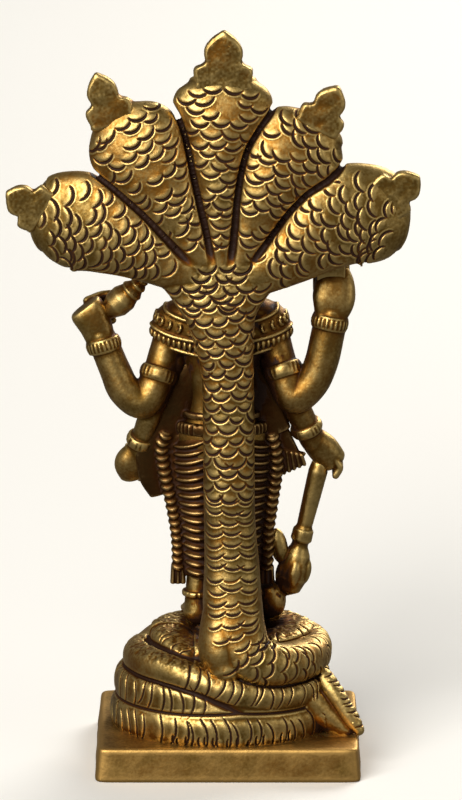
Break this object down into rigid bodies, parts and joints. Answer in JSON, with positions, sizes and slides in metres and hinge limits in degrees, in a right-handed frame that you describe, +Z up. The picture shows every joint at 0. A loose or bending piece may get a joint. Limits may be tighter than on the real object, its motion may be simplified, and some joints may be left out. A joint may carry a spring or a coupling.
{
  "type": "vishnu figure",
  "caption": "Cast brass standing deity with raised and lowered arms, backed by a hooded serpent whose body coils into a base on a low rectangular plinth.",
  "frame": {"origin": "centre of the plinth's flat underside", "axes": "+Z up; the deity faces -Y; the deity's own left hand side is +X"},
  "size_m": [0.1102, 0.056, 0.1996],
  "materials": {
    "brass": "cast and hand-chased, brown-black patina in the recesses"
  },
  "bodies": {
    "root": {"vishnu_figure": "brass"}
  },
  "joints": []
}
